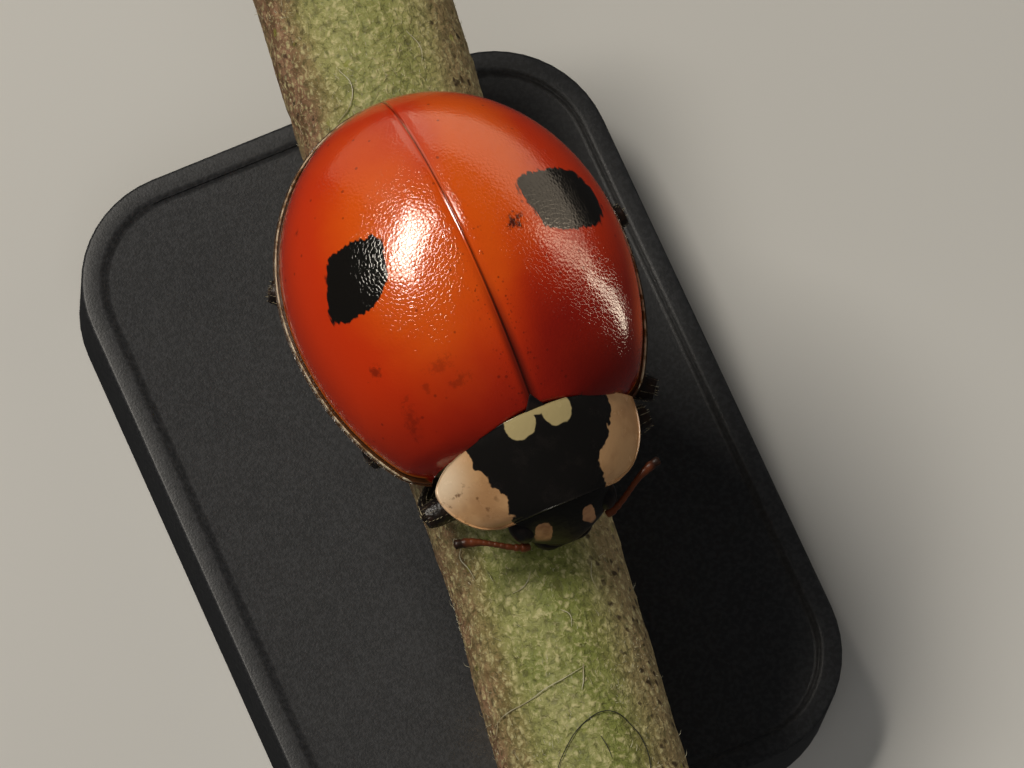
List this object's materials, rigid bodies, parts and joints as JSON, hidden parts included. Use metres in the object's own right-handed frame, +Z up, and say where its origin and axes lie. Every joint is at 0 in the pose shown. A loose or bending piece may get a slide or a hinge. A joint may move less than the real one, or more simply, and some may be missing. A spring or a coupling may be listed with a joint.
{
  "type": "ladybird",
  "caption": "Life-size model of a two-spot ladybird clinging head down to a cut length of plant stem, held up by a plain stand.",
  "frame": {"origin": "middle of the underside of the stand's base", "axes": "+Z up; the beetle's head points along -Y, its left side is at +X; the stem lies nearly along Y"},
  "size_m": [0.006, 0.0102, 0.007],
  "materials": {
    "wing_case": "glossy orange-red with one black spot a side",
    "shield": "glossy black with cream patches",
    "eye": "glossy black",
    "underside": "satin brown-black",
    "leg": "satin dark brown with fine golden hairs",
    "feeler": "satin red-brown",
    "stem": "matt downy green and tan skin",
    "stand_base": "satin charcoal",
    "stand_rod": "satin"
  },
  "bodies": {
    "root": {"elytron_left": "wing_case", "elytron_right": "wing_case", "scutellum": "shield", "pronotum": "shield", "head": "shield", "eye_left": "eye", "eye_right": "eye", "labrum": "underside", "antenna_left": "feeler", "antenna_right": "feeler", "palp_left": "feeler", "palp_right": "feeler", "prothorax": "underside", "thorax": "underside", "abdomen": "underside", "femur_front_left": "leg", "tibia_front_left": "leg", "tarsus_front_left": "leg", "femur_front_right": "leg", "tibia_front_right": "leg", "tarsus_front_right": "leg", "femur_middle_left": "leg", "tibia_middle_left": "leg", "tarsus_middle_left": "leg", "femur_middle_right": "leg", "tibia_middle_right": "leg", "tarsus_middle_right": "leg", "femur_hind_left": "leg", "tibia_hind_left": "leg", "tarsus_hind_left": "leg", "femur_hind_right": "leg", "tibia_hind_right": "leg", "tarsus_hind_right": "leg", "perch_stem": "stem", "stand_base": "stand_base", "stand_rod_front": "stand_rod", "stand_rod_back": "stand_rod"}
  },
  "joints": []
}
